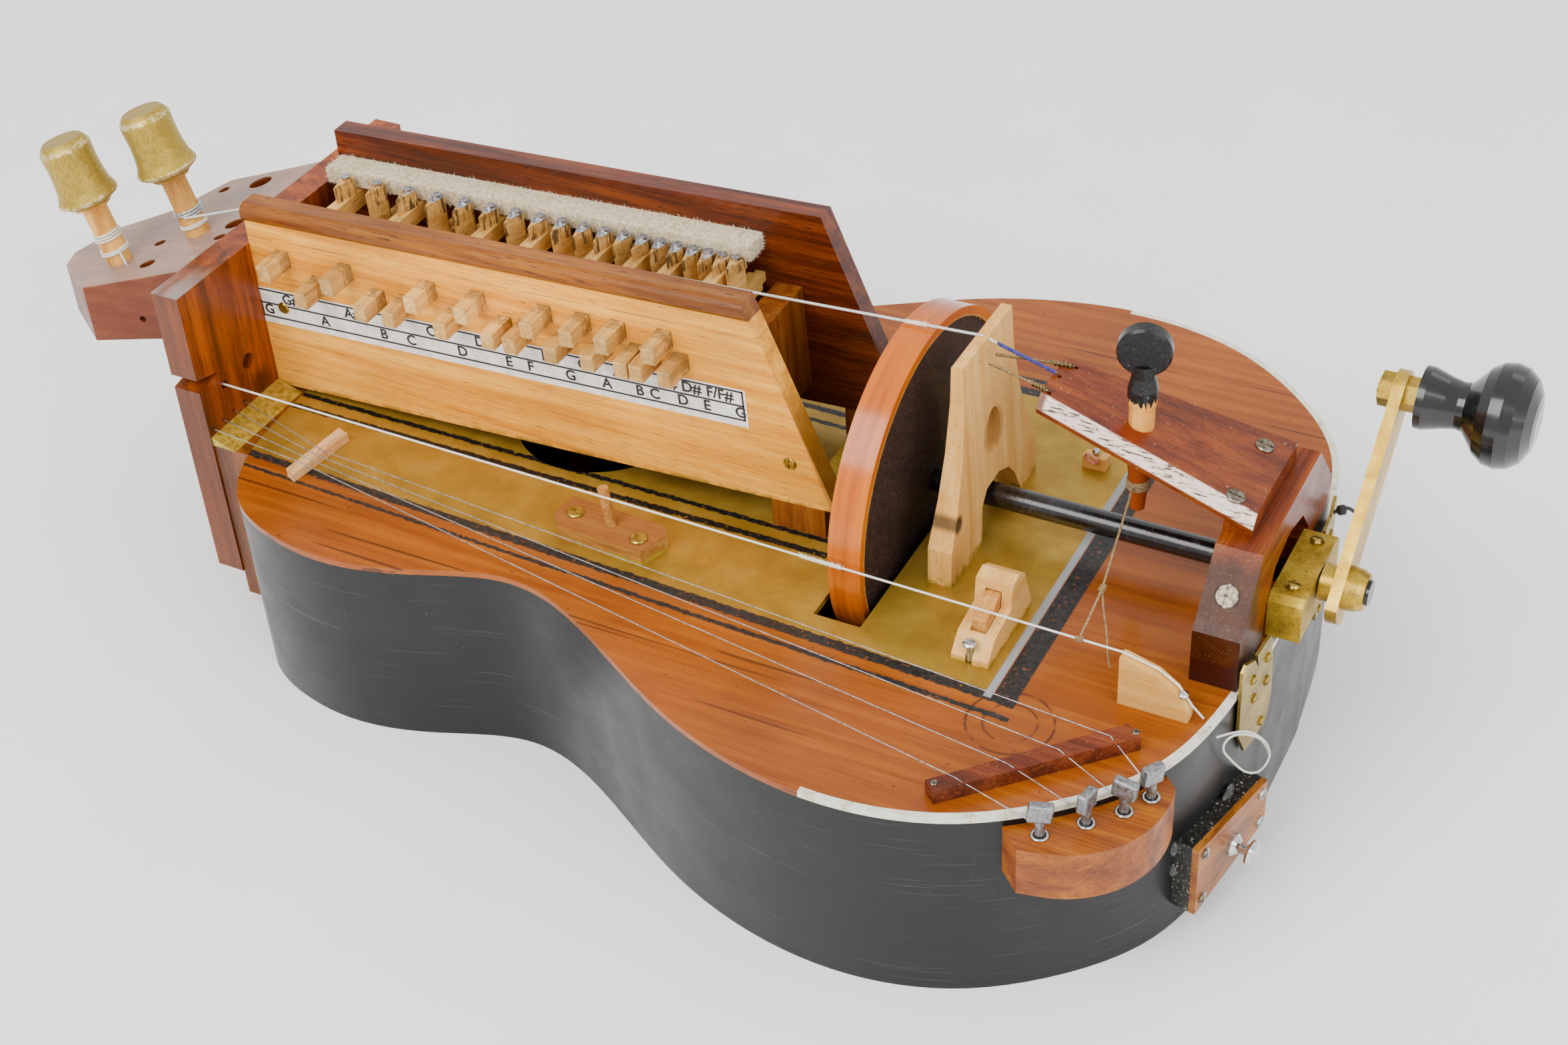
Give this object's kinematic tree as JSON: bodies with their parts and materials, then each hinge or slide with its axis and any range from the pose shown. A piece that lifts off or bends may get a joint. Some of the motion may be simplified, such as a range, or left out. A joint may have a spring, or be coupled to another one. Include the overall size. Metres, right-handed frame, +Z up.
{
  "type": "hurdy gurdy",
  "caption": "Home-made hurdy gurdy built on a guitar body, with a hand-cranked wheel, a wooden keybox of sliding keys, drone, melody and sympathetic strings",
  "frame": {"origin": "middle of the flat back", "axes": "+X from the headstock towards the crank, +Y across the body towards the ends of the keys that are pushed, +Z up out of the soundboard"},
  "size_m": [0.6874, 0.3644, 0.2293],
  "materials": {
    "soundboard_wood": "glossy orange-brown varnish over straight grain",
    "body_paint": "satin black paint with a greyish bloom",
    "binding_paint": "rough hand-painted cream",
    "inner_wood": "bare pale wood",
    "plank_oak": "oak, orange-brown, glossy on the face",
    "head_mahogany": "mahogany, satin with a greyish sheen",
    "packing_wood": "stained wood with a gold-painted fillet",
    "box_oak": "light oak with dark grain, satin",
    "box_back_mahogany": "dark red-brown mahogany, glossy",
    "moulding_wood": "darker orange-brown, glossy and rounded",
    "block_wood": "plain stained wood",
    "key_wood": "light wood, greyed and worn at the tips",
    "felt": "thick grey-cream wool felt",
    "wheel_wood": "glossy orange-brown rim over a dark fibrous core",
    "black_enamel": "gloss black",
    "crank_gold": "bright gold, brushed",
    "fastener_gold": "gold, lightly worn",
    "bearing_brass": "dull olive gold",
    "brass": "brass, dulled",
    "steel_screw": "bright slotted screws",
    "handle_black": "gloss black, turned",
    "peg_gold": "brushed gold paint over turned beech",
    "peg_beech": "turned beech",
    "tuner_steel": "grey plated steel",
    "tailpiece_wood": "glossy red-brown, worn white on the near edge",
    "tail_wood": "orange-red gloss over a dark maroon base",
    "beech": "pale speckled beech",
    "dark_wood": "dark stained wood",
    "strap_wood": "brown wood on black packing",
    "tuner_wood": "orange-brown varnished wood, worn on the face",
    "chrome": "polished",
    "string_steel": "steel and gut strings",
    "string_end": "pale stiff gut"
  },
  "bodies": {
    "body": {"axle_bearings": "bearing_brass", "body_back": "body_paint", "body_sides": "body_paint", "brass_plates": "brass", "dog_bridge": "beech", "drone_brackets": "beech", "drone_string_end": "string_end", "edge_binding": "binding_paint", "felt_strip": "felt", "headstock": "head_mahogany", "inner_frame": "inner_wood", "keybox_back_wall": "box_back_mahogany", "keybox_blocks": "block_wood", "keybox_front_wall": "box_oak", "keybox_moulding": "moulding_wood", "main_bridge": "beech", "neck_packing": "packing_wood", "neck_plank": "plank_oak", "soundboard": "soundboard_wood", "strap_button": "chrome", "strap_plate": "strap_wood", "string_lift": "beech", "strings": "string_steel", "sympathetic_bridges": "dark_wood", "tail_block": "tail_wood", "tailpiece": "tailpiece_wood", "tuner_block": "tuner_wood", "wood_screws": "steel_screw"},
    "wheel_and_crank": {"wheel": "wheel_wood", "axle": "black_enamel", "crank_arm": "crank_gold", "crank_fasteners": "fastener_gold"},
    "handle": {"crank_handle": "handle_black"},
    "dog": {"dog": "dark_wood"},
    "trompette_peg": {"trompette_peg": "peg_beech"},
    "tuning_peg_1": {"tuning_peg_1": "peg_gold"},
    "tuning_peg_2": {"tuning_peg_2": "peg_gold"},
    "key_01": {"key_01": "key_wood"},
    "key_02": {"key_02": "key_wood"},
    "key_03": {"key_03": "key_wood"},
    "key_04": {"key_04": "key_wood"},
    "key_05": {"key_05": "key_wood"},
    "key_06": {"key_06": "key_wood"},
    "key_07": {"key_07": "key_wood"},
    "key_08": {"key_08": "key_wood"},
    "key_09": {"key_09": "key_wood"},
    "key_10": {"key_10": "key_wood"},
    "key_11": {"key_11": "key_wood"},
    "key_12": {"key_12": "key_wood"},
    "key_13": {"key_13": "key_wood"},
    "key_14": {"key_14": "key_wood"},
    "key_15": {"key_15": "key_wood"},
    "key_16": {"key_16": "key_wood"},
    "key_17": {"key_17": "key_wood"},
    "key_18": {"key_18": "key_wood"},
    "key_19": {"key_19": "key_wood"},
    "sympathetic_tuner_1": {"sympathetic_tuner_1": "tuner_steel"},
    "sympathetic_tuner_2": {"sympathetic_tuner_2": "tuner_steel"},
    "sympathetic_tuner_3": {"sympathetic_tuner_3": "tuner_steel"},
    "sympathetic_tuner_4": {"sympathetic_tuner_4": "tuner_steel"}
  },
  "joints": [
    {"name": "wheel_spin", "type": "hinge", "parent": "body", "child": "wheel_and_crank", "pos_m": [0.07, 0, 0.1155], "axis": [1, 0, 0], "continuous": true},
    {"name": "handle_spin", "type": "hinge", "parent": "wheel_and_crank", "child": "handle", "pos_m": [0.28, 0.06511, 0.17014], "axis": [1, 0, 0], "continuous": true},
    {"name": "key_01_slide", "type": "slide", "parent": "body", "child": "key_01", "axis": [0, -1, 0], "range_m": [-0.0015, 0.0083]},
    {"name": "key_02_slide", "type": "slide", "parent": "body", "child": "key_02", "axis": [0, -1, 0], "range_m": [-0.0015, 0.0081]},
    {"name": "key_03_slide", "type": "slide", "parent": "body", "child": "key_03", "axis": [0, -1, 0], "range_m": [-0.0015, 0.0079]},
    {"name": "key_04_slide", "type": "slide", "parent": "body", "child": "key_04", "axis": [0, -1, 0], "range_m": [-0.0015, 0.0077]},
    {"name": "key_05_slide", "type": "slide", "parent": "body", "child": "key_05", "axis": [0, -1, 0], "range_m": [-0.0015, 0.0076]},
    {"name": "key_06_slide", "type": "slide", "parent": "body", "child": "key_06", "axis": [0, -1, 0], "range_m": [-0.0015, 0.0074]},
    {"name": "key_07_slide", "type": "slide", "parent": "body", "child": "key_07", "axis": [0, -1, 0], "range_m": [-0.0015, 0.0073]},
    {"name": "key_08_slide", "type": "slide", "parent": "body", "child": "key_08", "axis": [0, -1, 0], "range_m": [-0.0015, 0.0071]},
    {"name": "key_09_slide", "type": "slide", "parent": "body", "child": "key_09", "axis": [0, -1, 0], "range_m": [-0.0015, 0.007]},
    {"name": "key_10_slide", "type": "slide", "parent": "body", "child": "key_10", "axis": [0, -1, 0], "range_m": [-0.0015, 0.0069]},
    {"name": "key_11_slide", "type": "slide", "parent": "body", "child": "key_11", "axis": [0, -1, 0], "range_m": [-0.0015, 0.0068]},
    {"name": "key_12_slide", "type": "slide", "parent": "body", "child": "key_12", "axis": [0, -1, 0], "range_m": [-0.0015, 0.0067]},
    {"name": "key_13_slide", "type": "slide", "parent": "body", "child": "key_13", "axis": [0, -1, 0], "range_m": [-0.0015, 0.0066]},
    {"name": "key_14_slide", "type": "slide", "parent": "body", "child": "key_14", "axis": [0, -1, 0], "range_m": [-0.0015, 0.0065]},
    {"name": "key_15_slide", "type": "slide", "parent": "body", "child": "key_15", "axis": [0, -1, 0], "range_m": [-0.0015, 0.0064]},
    {"name": "key_16_slide", "type": "slide", "parent": "body", "child": "key_16", "axis": [0, -1, 0], "range_m": [-0.0015, 0.0063]},
    {"name": "key_17_slide", "type": "slide", "parent": "body", "child": "key_17", "axis": [0, -1, 0], "range_m": [-0.0015, 0.0062]},
    {"name": "key_18_slide", "type": "slide", "parent": "body", "child": "key_18", "axis": [0, -1, 0], "range_m": [-0.0015, 0.0061]},
    {"name": "key_19_slide", "type": "slide", "parent": "body", "child": "key_19", "axis": [0, -1, 0], "range_m": [-0.0015, 0.006]},
    {"name": "tuning_peg_1_turn", "type": "hinge", "parent": "body", "child": "tuning_peg_1", "pos_m": [-0.33, -0.046, 0.15582], "axis": [-0.2857, 0, 0.9583], "range_deg": [-180, 180]},
    {"name": "tuning_peg_2_turn", "type": "hinge", "parent": "body", "child": "tuning_peg_2", "pos_m": [-0.3, -0.0215, 0.16476], "axis": [-0.2857, 0, 0.9583], "range_deg": [-180, 180]},
    {"name": "trompette_peg_turn", "type": "hinge", "parent": "body", "child": "trompette_peg", "pos_m": [0.1705, -0.0024, 0.17406], "axis": [0, 0, 1], "range_deg": [-180, 180]},
    {"name": "sympathetic_tuner_1_turn", "type": "hinge", "parent": "body", "child": "sympathetic_tuner_1", "pos_m": [0.19221, -0.16019, 0.088], "axis": [0, 0, 1], "range_deg": [-180, 180]},
    {"name": "sympathetic_tuner_2_turn", "type": "hinge", "parent": "body", "child": "sympathetic_tuner_2", "pos_m": [0.2059, -0.14698, 0.088], "axis": [0, 0, 1], "range_deg": [-180, 180]},
    {"name": "sympathetic_tuner_3_turn", "type": "hinge", "parent": "body", "child": "sympathetic_tuner_3", "pos_m": [0.21682, -0.13528, 0.088], "axis": [0, 0, 1], "range_deg": [-180, 180]},
    {"name": "sympathetic_tuner_4_turn", "type": "hinge", "parent": "body", "child": "sympathetic_tuner_4", "pos_m": [0.22349, -0.12372, 0.088], "axis": [0, 0, 1], "range_deg": [-180, 180]},
    {"name": "dog_rock", "type": "hinge", "parent": "body", "child": "dog", "pos_m": [0.1313, -0.056, 0.111], "axis": [1, 0, 0], "range_deg": [-4, 3]}
  ]
}
